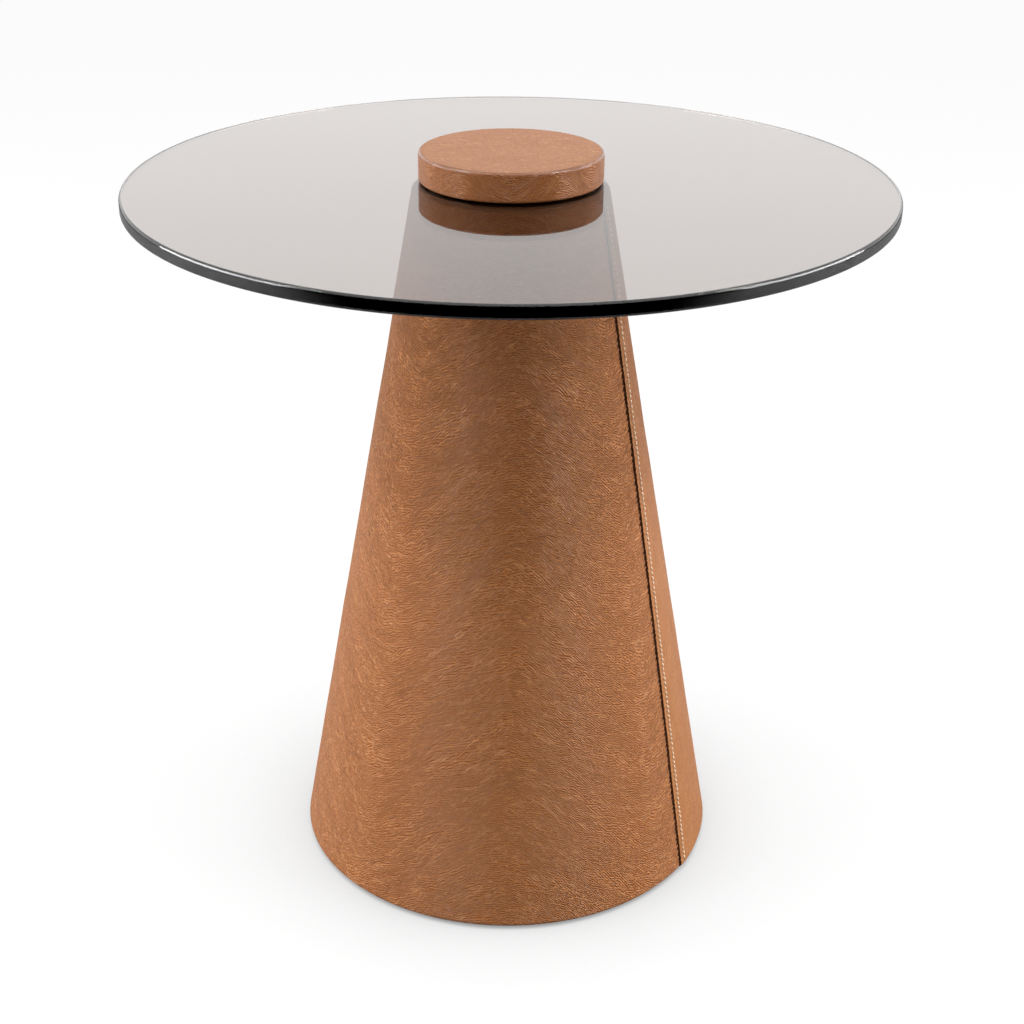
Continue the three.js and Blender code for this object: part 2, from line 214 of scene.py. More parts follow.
def noise(tree, source, scale, detail=2.0, roughness=0.5, distortion=0.0):
    """A soft random pattern, 0 to 1, with about as many spots to a metre as the scale says."""
    inputs = {
        "Vector": source, "Scale": scale, "Detail": detail,
        "Roughness": roughness, "Distortion": distortion,
    }
    return node(tree, "TexNoise", inputs).outputs["Fac"]


def close_material(tree, colour, roughness, height=None, depth=0.0, **surface_values):
    """Ends a material in one Principled surface, with a bump of a height in metres if one is given."""
    inputs = {"Base Color": colour, "Roughness": roughness}
    inputs.update({key.replace("_", " "): value for key, value in surface_values.items()})
    if height is not None:
        bump = node(tree, "Bump", {"Height": height, "Distance": depth, "Strength": 1.0})
        inputs["Normal"] = bump.outputs[0]
    surface_node = node(tree, "BsdfPrincipled", inputs)
    return node(tree, "OutputMaterial", {"Surface": surface_node.outputs[0]})


def plywood():
    """Wood with the bands of its plies where it is cut across, and fine grain."""
    made, tree = new_material("plywood")
    place = node(tree, "TexCoord", {}).outputs["Object"]
    height = node(tree, "SeparateXYZ", {0: place}).outputs["Z"]
    band = maths(tree, "PINGPONG", height, PLY_THICKNESS)
    plies = ramp(tree, band, 0.35 * PLY_THICKNESS, 0.65 * PLY_THICKNESS)
    grain = noise(tree, mapped(tree, place, scale=PLY_GRAIN_STRETCH), 40, detail=4, roughness=0.6)
    colour = mixed(tree, maths(tree, "MULTIPLY", plies, PLY_BAND_SHARE), PLY_LIGHT, PLY_DARK)
    colour = mixed(tree, maths(tree, "MULTIPLY", grain, PLY_GRAIN_SHARE), colour, PLY_DARK)
    close_material(tree, colour, roughness=0.75, height=grain, depth=0.0001)
    return made


def softwood():
    """Long grain along the batten."""
    made, tree = new_material("softwood")
    place = node(tree, "TexCoord", {}).outputs["Object"]
    stretched = mapped(tree, place, scale=PINE_GRAIN_STRETCH)
    grain = noise(tree, stretched, 22, detail=4, roughness=0.6, distortion=0.4)
    colour = mixed(tree, ramp(tree, grain, 0.35, 0.65), PINE_LIGHT, PINE_DARK)
    close_material(tree, colour, roughness=0.7, height=grain, depth=0.0002)
    return made


def finish_node(material, *names):
    """Gives nodes of the frame a material in place of their own."""
    for name in names:
        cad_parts[name].data.materials.clear()
        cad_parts[name].data.materials.append(material)


BATTENS = [f"{bay}_batten_{number}" for bay in ("lower", "upper") for number in range(1, 5)]
finish_node(plywood(), "bottom_disc", "middle_rib", "top_disc", "cone_skin")
finish_node(softwood(), *BATTENS)


# Ballast. A steel plate with black paint on it, screwed to the bottom disc so that the wide glass can't
# tip the table over.
PAINT_TONE = (0.012, 0.012, 0.013, 1)


def black_paint():
    """Thick paint with the slight orange peel of a sprayed coat."""
    made, tree = new_material("black_paint")
    place = node(tree, "TexCoord", {}).outputs["Object"]
    peel = noise(tree, place, 260)
    roughness = ramp(tree, peel, 0.3, 0.7, 0.4, 0.55)
    close_material(tree, PAINT_TONE, roughness, height=peel, depth=0.0001)
    return made


finish_node(black_paint(), "ballast_plate")


# Glides. Four black nylon discs screwed to the bottom disc inside the leather's hem; they carry the
# table and leave the thin shadow under it.
NYLON_TONE = (0.014, 0.014, 0.015, 1)
SIDES_SMALL = 64
SUPPORT = 0.0002
BEND_STEPS = 6
GLIDE_CUP_RADIUS = 0.0045
GLIDE_CUP_DEPTH = 0.0024
GLIDE_BEND = 0.001
SHARP_BEND = 0.0003


def rounded(corners, closed=True, spacing=None):
    """Outline through [radius, height, bend] corners, as an array of [radius, height] points. Each corner
    becomes an arc that touches both of its sides, with one more point close by on each side to keep the
    flat faces flat. With a spacing, long straight stretches are divided too."""
    points = []
    count = len(corners)
    for number, (radius, height, bend) in enumerate(corners):
        corner = np.array((radius, height))
        if not closed and number in (0, count - 1):
            points.append(corner[None])
            continue
        before = np.array(corners[number - 1][:2]) - corner
        after = np.array(corners[(number + 1) % count][:2]) - corner
        before /= np.linalg.norm(before)
        after /= np.linalg.norm(after)
        opening = math.acos(float(np.clip(before @ after, -1, 1)))
        reach = bend / math.tan(opening / 2)
        middle = corner + (before + after) / np.linalg.norm(before + after) * bend / math.sin(opening / 2)
        start = corner + before * reach - middle
        end = corner + after * reach - middle
        swing = math.atan2(start[0] * end[1] - start[1] * end[0], start @ end)
        angles = math.atan2(start[1], start[0]) + swing * np.linspace(0, 1, BEND_STEPS + 1)
        bow = middle + bend * np.stack([np.cos(angles), np.sin(angles)], 1)
        points.append(np.concatenate([
            (corner + before * (reach + SUPPORT))[None], bow, (corner + after * (reach + SUPPORT))[None],
        ]))
    outline = np.concatenate(points)
    if closed:
        outline = np.concatenate([outline, outline[:1]])
    if spacing is None:
        return outline
    lengths = np.linalg.norm(np.diff(outline, axis=0), axis=1)
    parts = np.maximum(1, np.round(lengths / spacing)).astype(int)
    steps = [np.linspace(0, 1, part, endpoint=False)[:, None] for part in parts]
    pieces = [a + (b - a) * step for a, b, step in zip(outline[:-1], outline[1:], steps)]
    return np.concatenate(pieces + [outline[-1:]])


def surface(name, points, uv=None, ring=True):
    """Mesh object from a grid of points [copy, row, column, xyz]. The last column repeats the first. On
    a ring the last row repeats the first too; otherwise the first and last rows are poles, one vertex
    each. The UV, if there is one, has a value for each row and column."""
    copies, rows, columns = points.shape[0], points.shape[1], points.shape[2] - 1
    row_numbers = np.arange(rows) % (rows - 1 if ring else rows)
    index = row_numbers[:, None] * columns + np.arange(columns + 1) % columns
    if not ring:
        index[0] = 0
        index[-1] = index[-1, 0]
    used, flat = np.unique(index, return_inverse=True)
    index = flat.reshape(index.shape)
    vertices = points[:, :, :-1].reshape(copies, -1, 3)[:, used]
    corners = [index[:-1, :-1], index[:-1, 1:], index[1:, 1:], index[1:, :-1]]
    quads = np.stack(corners, -1)
    solid = slice(None) if ring else slice(1, -1)
    groups = [quads[solid].reshape(-1, 4)]
    if not ring:
        groups += [quads[0][:, [0, 2, 3]], quads[-1][:, [0, 1, 2]]]
    starts = np.arange(copies)[:, None, None] * len(used)
    faces = [face for group in groups
             for face in (group + starts).reshape(-1, group.shape[1]).tolist()]
    mesh = bpy.data.meshes.new(name)
    mesh.from_pydata(vertices.reshape(-1, 3).tolist(), [], faces)
    if uv is not None:
        flat_corners = np.stack([uv[:-1, :-1], uv[:-1, 1:], uv[1:, 1:], uv[1:, :-1]], -2)
        uv_groups = [flat_corners[solid].reshape(-1, 2)]
        if not ring:
            first, last = flat_corners[0][:, [0, 2, 3]], flat_corners[-1][:, :3]
            uv_groups += [first.reshape(-1, 2), last.reshape(-1, 2)]
        layer = mesh.uv_layers.new(name="flat_pattern")
        layer.data.foreach_set("uv", np.concatenate(uv_groups).ravel())
    mesh.shade_smooth()
    made = bpy.data.objects.new(name, mesh)
    bpy.context.scene.collection.objects.link(made)
    return made


def turned(outline, sides, place=(0, 0)):
    """Points of an outline carried round an upright axis at a place."""
    azimuth = np.linspace(0, 2 * math.pi, sides + 1)
    radius, height = outline[:, :1], outline[:, 1:]
    around = [place[0] + radius * np.cos(azimuth), place[1] + radius * np.sin(azimuth)]
    return np.stack([*around, height + 0 * azimuth], -1)[None]


def fit(piece, material, body, slot, *replaced):
    """Finishes a piece: its material, the body it moves with and the nodes it stands for. The slot is not
    used.
    """
    piece.data.materials.append(material)
    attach(piece, body)
    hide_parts(*replaced)


def nylon():
    """Moulded nylon, slightly cloudy."""
    made, tree = new_material("nylon")
    place = node(tree, "TexCoord", {}).outputs["Object"]
    cloud = noise(tree, place, 180, detail=3)
    roughness = ramp(tree, cloud, 0.3, 0.7, 0.38, 0.55)
    close_material(tree, NYLON_TONE, roughness, height=cloud, depth=0.00003)
    return made


def node_centre(name):
    """Middle of a node's box, as x and y."""
    low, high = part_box(name)
    return ((low[0] + high[0]) / 2, (low[1] + high[1]) / 2)


black_nylon = nylon()
for number in range(1, 5):
    low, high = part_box(f"glide_{number}")
    radius = (high[0] - low[0]) / 2
    outline = rounded([
        (0, high[2], 0),
        (0, GLIDE_CUP_DEPTH, 0),
        (GLIDE_CUP_RADIUS, GLIDE_CUP_DEPTH, 0.0002),
        (GLIDE_CUP_RADIUS, low[2], SHARP_BEND),
        (radius, low[2], GLIDE_BEND),
        (radius, high[2], SHARP_BEND),
        (0, high[2], 0),
    ], closed=False)[1:]
    piece = surface(f"nylon_glide_{number}", turned(outline, SIDES_SMALL, node_centre(f"glide_{number}")),
                    ring=False)
    fit(piece, black_nylon, "pedestal", "nylon", f"glide_{number}")


# Screws. Zinc-plated steel, with a cross recess in a head whose rim is rounded: four in the glides, four
# in the ballast, four in the stud's plate and three in the cap's insert.
SCREW_SIDES = 48
SCREW_BEND = 0.0001
HEAD_FACE_SHARE = 0.94
HEAD_FACE_ROWS = 14
RECESS_HALF_WIDTH = 0.16
RECESS_REACH = 0.62
RECESS_DEPTH = 0.5
RECESS_SIDE_SLOPE = 0.05
RECESS_END_SLOPE = 0.08
ZINC_TONE = (0.56, 0.55, 0.51, 1)
ZINC_BLOTCH_TONE = (0.72, 0.71, 0.68, 1)


def zinc_steel():
    """Zinc plate: bright, with faint blotches and rubbed patches."""
    made, tree = new_material("zinc_steel")
    place = node(tree, "TexCoord", {}).outputs["Object"]
    blotch = noise(tree, place, 420, detail=4, roughness=0.6)
    colour = mixed(tree, blotch, ZINC_TONE, ZINC_BLOTCH_TONE)
    roughness = ramp(tree, blotch, 0.3, 0.7, 0.22, 0.4)
    close_material(tree, colour, roughness, height=blotch, depth=0.00002, Metallic=1.0)
    return made


def mesh_points(piece):
    """Vertices of a piece as an array with one row of x, y and z for each."""
    found = np.empty(3 * len(piece.data.vertices))
    piece.data.vertices.foreach_get("co", found)
    return found.reshape(-1, 3)


def screw(name, source):
    """A screw as one turned surface in its node's box: point, shank and head, with the cross sunk in it.
    The head lies at whichever end of the box is wider."""
    low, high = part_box(source)
    vertices = mesh_points(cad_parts[source])
    centre = np.array(node_centre(source))
    reach = np.linalg.norm(vertices[:, :2] - centre, axis=1)
    head_radius = reach.max()
    wide = vertices[reach > 0.98 * head_radius, 2]
    upward = wide.max() > high[2] - 1e-5
    head_height = wide.max() - wide.min()
    shank_radius = reach[reach < 0.75 * head_radius].max()
    length = high[2] - low[2]
    face = np.linspace(1, 0, HEAD_FACE_ROWS)[:, None] * head_radius * HEAD_FACE_SHARE
    outline = rounded([
        (0, 0, 0),
        (shank_radius, shank_radius, SCREW_BEND),
        (shank_radius, length - head_height, SCREW_BEND),
        (head_radius, length - head_height, 2 * SCREW_BEND),
        (head_radius, length, SHARP_BEND),
        (head_radius * HEAD_FACE_SHARE, length, 0),
    ], closed=False)
    outline = np.concatenate([outline, np.hstack([face[1:], length + 0 * face[1:]])])
    points = turned(outline, SCREW_SIDES)[0]
    across = points[:, :, :2] / head_radius
    narrow = np.abs(across).min(-1)
    far = np.abs(across).max(-1)
    in_width = np.clip((RECESS_HALF_WIDTH - narrow) / RECESS_SIDE_SLOPE, 0, 1)
    in_length = np.clip((RECESS_REACH - far) / RECESS_END_SLOPE, 0, 1)
    sunk = in_width * in_length
    on_face = points[:, :, 2] > length - 1e-6
    points[:, :, 2] -= sunk * on_face * RECESS_DEPTH * head_height
    if not upward:
        points[:, :, 1:] *= -1
        points[:, :, 2] += length
    points[:, :, :2] += centre
    points[:, :, 2] += low[2]
    return surface(name, points[None], ring=False)


plated = zinc_steel()
for group, count, body in (("glide", 4, "pedestal"), ("ballast", 4, "pedestal"), ("flange", 4, "pedestal"),
                           ("insert", 3, "cap")):
    for number in range(1, count + 1):
        source = f"{group}_screw_{number}"
        fit(screw(f"cross_head_{group}_{number}", source), plated, body, "steel", source)


# Dust cover. Black non-woven cloth over the leather's hem, stapled all round.
CLOTH_TONE = (0.012, 0.012, 0.012, 1)
CLOTH_FIBRE_TONE = (0.03, 0.03, 0.03, 1)
STAPLE_COUNT = 24
STAPLE_INSET = 0.006
STAPLE_LENGTH = 0.009
STAPLE_WIRE = 0.0004


def dust_cloth():
    """Pressed fibres with a fine quilted mark."""
    made, tree = new_material("dust_cloth")
    place = node(tree, "TexCoord", {}).outputs["Object"]
    fibres = noise(tree, place, 900, detail=4, roughness=0.7)
    quilt = node(tree, "TexVoronoi", {"Vector": place, "Scale": 400.0}).outputs["Distance"]
    colour = mixed(tree, fibres, CLOTH_TONE, CLOTH_FIBRE_TONE)
    close_material(tree, colour, roughness=0.9, height=maths(tree, "ADD", fibres, quilt), depth=0.0002)
    return made


def capsules(name, places, along, across, outward, length, radius, arch=0.0, sides=8, rings=7):
    """Short rounded bars, one at each place. Along a bar the radius follows the root of a sine, and its
    middle stands proud of its ends by the arch."""
    share = np.linspace(0, math.pi, rings)
    lengthwise = -np.cos(share) * length / 2
    girth = radius * np.sin(share) ** 0.5
    azimuth = np.linspace(0, 2 * math.pi, sides + 1)
    side = girth[:, None] * np.cos(azimuth)
    rise = girth[:, None] * np.sin(azimuth) + arch * (np.sin(share) - 1)[:, None]
    frames = [vector[:, None, None, :] for vector in (places, along, across, outward)]
    bars = frames[0] + frames[1] * lengthwise[:, None, None] + frames[2] * side[..., None]
    return surface(name, bars + frames[3] * rise[..., None], ring=False)


finish_node(dust_cloth(), "dust_cover")
cloth_low, cloth_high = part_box("dust_cover")
azimuth = np.linspace(0, 2 * math.pi, STAPLE_COUNT, endpoint=False)
outward = np.stack([np.cos(azimuth), np.sin(azimuth), 0 * azimuth], 1)
sideways = np.stack([-np.sin(azimuth), np.cos(azimuth), 0 * azimuth], 1)
downward = np.tile((0.0, 0.0, -1.0), (STAPLE_COUNT, 1))
staple_places = outward * (cloth_high[0] - STAPLE_INSET) + (0, 0, cloth_low[2])
staples = capsules("staples", staple_places, sideways, outward, downward, STAPLE_LENGTH, STAPLE_WIRE)
staples.data.materials.append(plated)
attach(staples, "pedestal")


# Leather cover. One tan hide round the cone, glued down and turned in at both ends. Its right-hand end
# laps over the left-hand one, with its cut edge dyed dark and a row of stitches beside it. The notches
# in the end below are painted dark, as their shade.
BASE_RADIUS = 0.168
NECK_RADIUS = 0.072
CONE_BASE = cloth_high[2]
CONE_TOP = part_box("lower_gasket")[0][2]
COVER_THICKNESS = 0.0016
COVER_BEND = 0.0032
BASE_HEM = 0.025
NECK_HEM = 0.018
HEM_EDGE_BEND = 0.0003
SEAM_AT_BASE = math.radians(-32.5)
SEAM_AT_NECK = math.radians(-26.0)
LAP_FADE = math.radians(14)
COLUMNS_PAST_EDGE_MM = (
    0, 0.06, 0.25, 0.6, 1.0, 1.8, 2.8, 3.6, 4.2, 4.6, 5.0, 5.4, 5.8, 6.4, 7.4, 8.8, 10.5, 12.5, 15, 19, 24,
)
COLUMNS_BEFORE_EDGE_MM = (12, 9, 7, 5.5, 4.4, 3.5, 2.8, 2.2, 1.7, 1.3, 0.9, 0.6, 0.35, 0.15, 0)
COLUMNS_BETWEEN = 102
FAR_FROM_EDGE = 1.0
OUTER_WALL_SHARE = 0.7
ROW_SPACING = 0.001
HIDDEN_ROW_STEP = 20
HIDDEN_ROW_RISE = 0.0006
STITCH_INSET = 0.005
STITCH_PITCH = 0.004
GROOVE_DEPTH = 0.00035
GROOVE_WIDTH = 0.0009
NOTCH_DEPTH = 0.0009
NOTCH_REACH = (0.0003, 0.0042)
NOTCH_EDGE = 0.0003
NOTCH_STRAY = 0.3
NOTCH_STRAY_RATE = 0.9
NOTCH_DEPTH_MEAN = 0.8
NOTCH_DEPTH_SPREAD = 0.2
NOTCH_DEPTH_RATE = 2.3
WALL_WIDTH = 0.00006
EDGE_SKIVE = 0.6
BEAD_HEIGHT = 0.00025
BEAD_WIDTH = 0.0016
RAGGED_EDGE = 0.0002
RAGGED_REACH = 0.0007
WAVE_HEIGHT = 0.00012
CREASE_SLOPE = 0.75
CREASE_TURN = math.radians(90)
CREASE_ROUNDING = 0.95
CALM_GRAIN = 0.6
CALM_REACH = math.radians(50)
NECK_GRAIN = 0.7
NECK_GRAIN_FROM = 0.25
NECK_GRAIN_SPAN = 0.2
LIP_FADE = 0.002
FOLD_PITCH = 0.0017
RIDGE_TURN = 0.32
RIDGE_WANDER = 7.0
CROSS_PITCH_SHARE = 1.1
HIDE_BEND = 0.014
HIDE_KINK = 0.001
PORE_SCALE = 900
FOLD_TURN = 0.35
FOLD_STRETCH = (0.25, 1, 1)
FOLD_HEIGHT = 0.5
GRAIN_MIDDLE = 0.85
GRAIN_DEPTH = 0.00068
# The valley tone is the hide's dark tone and the painted shade in the grain's valleys; the ridge tone is a
# painted highlight on the ridges.
HIDE_DARK_AND_VALLEY_SHADE = (0.262, 0.075, 0.014, 1)
HIDE_RIDGE_HIGHLIGHT = (0.460, 0.171, 0.047, 1)
# Pale tint: painted highlight on the folds and the lapped edge, and the paler colour of calm leather.
HIDE_PALE_AND_HIGHLIGHT = (0.590, 0.270, 0.110, 1)
# Burnished tone: darker rubbed leather, which on the cap's side is also painted shade.
HIDE_BURNISHED_SHADE = (0.200, 0.050, 0.009, 1)
EDGE_DYE_AND_SHADE = (0.085, 0.026, 0.006, 1)
FOLD_HIGHLIGHT = 0.4
CALM_PALE_AND_TOP_LIGHT = 0.35
LIP_RUB_AND_HIGHLIGHT = 0.4
DRIFT_SHARE = 0.06
BURNISH_AND_SHADE_SHARE = 0.6
BURNISH_SMOOTHING = -0.2
VALLEY_ROUGHNESS = 0.42
RIDGE_ROUGHNESS = 0.36
HIDE_GLOSS = 0.25
HIDE_SHEEN = 0.06
RIM_COAT = 0.7
RIM_ROUGHNESS = 0.15
RIM_IOR = 1.75

cone_slope = (BASE_RADIUS - NECK_RADIUS) / (CONE_TOP - CONE_BASE)
slant = math.hypot(1, cone_slope)


def side_radius(height):
    """Radius of the leather's outer face at a height, as if the cone had sharp edges."""
    return BASE_RADIUS - cone_slope * (height - CONE_BASE)


def seam_azimuth(height):
    """Angle of the cut edge at a height: a straight line on the cone from its foot to its neck."""
    share = (height - CONE_BASE) / (CONE_TOP - CONE_BASE)
    return SEAM_AT_BASE + (SEAM_AT_NECK - SEAM_AT_BASE) * share


def waves(lengthwise, angle, seed, count=24):
    """Low random swells, mostly between -1 and 1: a sum of products of two sines, one of them a whole
    number of times round the axis."""
    generator = np.random.default_rng(seed)
    total = 0 * (lengthwise + angle)
    for _ in range(count):
        times = generator.integers(2, 14)
        rate = generator.uniform(20, 130)
        phase = generator.uniform(0, 2 * math.pi, 2)
        total = total + np.sin(times * angle + phase[0]) * np.sin(rate * lengthwise + phase[1])
    return total / math.sqrt(count)


def notch_reach(run):
    """How far the notches reach from the cut edge, by the distance along it: saw teeth, one to a stitch,
    that come a little early or late and each have their own depth."""
    beat = run / STITCH_PITCH + NOTCH_STRAY * np.sin(NOTCH_STRAY_RATE * run / STITCH_PITCH)
    depth = NOTCH_DEPTH_MEAN + NOTCH_DEPTH_SPREAD * np.sin(NOTCH_DEPTH_RATE * np.floor(beat))
    return NOTCH_REACH[0] + (NOTCH_REACH[1] - NOTCH_REACH[0]) * depth * (1 - beat % 1)


def seam_profile(past, angle, notch):
    """Height of the leather beside the seam, by the distance past its cut edge: the lapped end stands
    proud and sinks back, with a groove for the stitches; the end below it has notches at the edge."""
    thinning = EDGE_SKIVE + (1 - EDGE_SKIVE) * np.clip(past / (2 * COVER_THICKNESS), 0, 1)
    lapped = np.clip(past / WALL_WIDTH, 0, 1) * thinning
    sinking = 1 - np.clip(angle / LAP_FADE, 0, 1)
    raised = COVER_THICKNESS * lapped * sinking * (past >= 0) * (angle < LAP_FADE)
    bead = BEAD_HEIGHT * np.exp(-past / BEAD_WIDTH) * (past >= WALL_WIDTH)
    groove = GROOVE_DEPTH * np.exp(-(((past - STITCH_INSET) / GROOVE_WIDTH) ** 2))
    dip = NOTCH_DEPTH * np.clip(1 + past / notch, 0, 1) ** 0.5 * (past < 0)
    return raised + bead - groove - dip


def cover_grid():
    """The cover as rows along its outline and columns round the cone. Columns near the seam keep their
    distance from the cut edge; the others spread evenly between. The UV is the unrolled pattern in metres,
    bowed up and down four times round the cone, which gives the wrinkles their arches."""
    inner_base = side_radius(CONE_BASE + COVER_THICKNESS) - COVER_THICKNESS * slant
    inner_neck = side_radius(CONE_TOP - COVER_THICKNESS) - COVER_THICKNESS * slant
    outline = rounded([
        (BASE_RADIUS - BASE_HEM, CONE_BASE, HEM_EDGE_BEND),
        (BASE_RADIUS, CONE_BASE, COVER_BEND),
        (NECK_RADIUS, CONE_TOP, COVER_BEND),
        (NECK_RADIUS - NECK_HEM, CONE_TOP, HEM_EDGE_BEND),
        (NECK_RADIUS - NECK_HEM, CONE_TOP - COVER_THICKNESS, HEM_EDGE_BEND),
        (inner_neck, CONE_TOP - COVER_THICKNESS, COVER_BEND / 2),
        (inner_base, CONE_BASE + COVER_THICKNESS, COVER_BEND / 2),
        (BASE_RADIUS - BASE_HEM, CONE_BASE + COVER_THICKNESS, HEM_EDGE_BEND),
    ], spacing=ROW_SPACING)
    depth = (side_radius(outline[:, 1]) - outline[:, 0]) / slant
    outer = np.clip(1 - depth / (COVER_THICKNESS * OUTER_WALL_SHARE), 0, 1)
    level = np.abs(np.gradient(outline[:, 1])) < HIDDEN_ROW_RISE
    keep = (outer > 0) | level | (np.arange(len(outline)) % HIDDEN_ROW_STEP == 0)
    keep[[0, -1]] = True
    outline, outer = outline[keep], outer[keep]
    travelled = np.concatenate([[0], np.cumsum(np.linalg.norm(np.diff(outline, axis=0), axis=1))])
    radius, height = outline[:, :1], outline[:, 1:]
    guide = side_radius(height)

    past_edge = np.array(COLUMNS_PAST_EDGE_MM) / 1000
    before_edge = np.array(COLUMNS_BEFORE_EDGE_MM) / 1000
    near = past_edge / guide
    last = 2 * math.pi - before_edge / guide
    between = np.linspace(0, 1, COLUMNS_BETWEEN + 2)[1:-1]
    spread = near[:, -1:] + (last[:, :1] - near[:, -1:]) * between
    angle = np.hstack([near, spread, last])
    past = np.hstack([near, spread, last - 2 * math.pi]) * guide
    past[:, len(past_edge):len(past_edge) + len(between)] = FAR_FROM_EDGE
    lengthwise = travelled[:, None]
    notch = notch_reach(lengthwise)
    swell = WAVE_HEIGHT * waves(lengthwise, angle, 3)
    lift = outer[:, None] * (seam_profile(past, angle, notch) + swell)
    ragged = RAGGED_EDGE * (np.sin(2 * math.pi * lengthwise / STITCH_PITCH)
                            + 0.7 * np.sin(5.3 * lengthwise / STITCH_PITCH + 1.0))
    shift = ragged * np.exp(-((past / RAGGED_REACH) ** 2)) * outer[:, None]
    follow = np.abs(1 - angle / math.pi) * outer[:, None]
    azimuth = SEAM_AT_BASE + angle + shift / guide + follow * (seam_azimuth(height) - SEAM_AT_BASE)
    reach = radius + lift
    points = np.stack([reach * np.cos(azimuth), reach * np.sin(azimuth), height + 0 * azimuth], -1)
    points[:, -1] = points[:, 0]

    taper = cone_slope / slant
    from_apex = BASE_RADIUS / taper - lengthwise
    from_front = angle + SEAM_AT_BASE + math.pi / 2
    from_front = np.where(angle > math.pi, from_front - 2 * math.pi, from_front)
    unrolled = (angle - 2 * math.pi + SEAM_AT_BASE + math.pi / 2) * taper
    arch = np.arcsin(CREASE_ROUNDING * np.cos(2 * math.pi * from_front / CREASE_TURN))
    bow = CREASE_SLOPE * CREASE_TURN / (2 * math.pi) * guide * arch
    uv = np.stack([from_apex * np.sin(unrolled), from_apex * np.cos(unrolled) + bow], -1)
    marks = {
        "calm": (CALM_GRAIN * (1 - np.clip(angle / CALM_REACH, 0, 1)) ** 0.5
                 - NECK_GRAIN * np.clip((height - NECK_GRAIN_FROM) / NECK_GRAIN_SPAN, 0, 1)),
        # Edge mark: the cut edge is dyed; the notches beside it are painted dark as their shade.
        "edge": np.where(past < 0, np.clip((notch + past) / NOTCH_EDGE, 0, 1), past < 2 * WALL_WIDTH),
        "lip": np.exp(-past / LIP_FADE) * (past >= WALL_WIDTH) * (angle < math.pi),
    }
    return points[None], uv, marks


def fold_waves(tree, flat, turn, pitch):
    """Ridges a pitch apart, 0 to 1: a sine across the pattern, whose phase wanders by a noise that is
    longer along the ridges, so that they wave, fork and end."""
    along = mapped(tree, flat, (0, 0, turn))
    wandering = noise(tree, mapped(tree, along, scale=(0.5, 1, 1)), 0.55 / pitch, roughness=0.6)
    across = node(tree, "SeparateXYZ", {0: along}).outputs["Y"]
    steady = maths(tree, "MULTIPLY", across, 2 * math.pi / pitch)
    phase = maths(tree, "MULTIPLY_ADD", wandering, RIDGE_WANDER, steady)
    return maths(tree, "MULTIPLY_ADD", maths(tree, "SINE", phase), 0.5, 0.5)


def thin_folds(tree, flat, turn, scale, width, place_scale):
    """Thin lines, 0 to 1, where a noise stretched along u passes through its middle value, in the places
    where a wider noise is high."""
    along = mapped(tree, flat, (0, 0, turn), FOLD_STRETCH)
    off = maths(tree, "ABSOLUTE", maths(tree, "SUBTRACT", noise(tree, along, scale, detail=1.5), 0.5))
    place = noise(tree, mapped(tree, flat, scale=(0.5, 1, 1)), place_scale, detail=1)
    here = ramp(tree, place, 0.3, 0.6)
    return maths(tree, "MULTIPLY", ramp(tree, off, 0.0, width, 1.0, 0.0), here)


def hide_grain(tree, flat, pitch):
    """Height of the grain, about -0.5 to 0.5, and its thin folds, on a flat pattern whose wrinkles run
    along u: two sets of waving ridges that cross at an angle and take turns, the folds, and fine pores.
    The pattern is first bent gently and kinked finely by two noises."""
    bend = maths(tree, "MULTIPLY", noise(tree, flat, 24, detail=1), HIDE_BEND)
    kink = maths(tree, "MULTIPLY", noise(tree, flat, 200, detail=1), HIDE_KINK)
    shift = node(tree, "CombineXYZ", {"X": kink, "Y": maths(tree, "ADD", bend, kink)}).outputs[0]
    warped = node(tree, "VectorMath", {0: flat, 1: shift}, operation="ADD").outputs[0]
    turns = noise(tree, flat, 220, detail=1)
    first = fold_waves(tree, warped, RIDGE_TURN, pitch)
    first = maths(tree, "MULTIPLY", first, ramp(tree, turns, 0.4, 0.6))
    second = fold_waves(tree, warped, -RIDGE_TURN, CROSS_PITCH_SHARE * pitch)
    second = maths(tree, "MULTIPLY", second, ramp(tree, turns, 0.4, 0.6, 1.0, 0.0))
    ridges = maths(tree, "MAXIMUM", first, second)
    folds = maths(tree, "MAXIMUM", thin_folds(tree, warped, FOLD_TURN, 200, width=0.022, place_scale=90),
                  thin_folds(tree, warped, -FOLD_TURN, 250, width=0.026, place_scale=110))
    pores = noise(tree, mapped(tree, warped, scale=(0.6, 1, 1)), PORE_SCALE, roughness=0.7)
    height = maths(tree, "MULTIPLY_ADD", folds, FOLD_HEIGHT, maths(tree, "ADD", pores, ridges))
    return maths(tree, "SUBTRACT", height, GRAIN_MIDDLE), folds


def tinted(tree, mark, share, colour, tint):
    """A colour taken toward a tint by a share of a mark."""
    return mixed(tree, maths(tree, "MULTIPLY", mark, share), colour, tint)


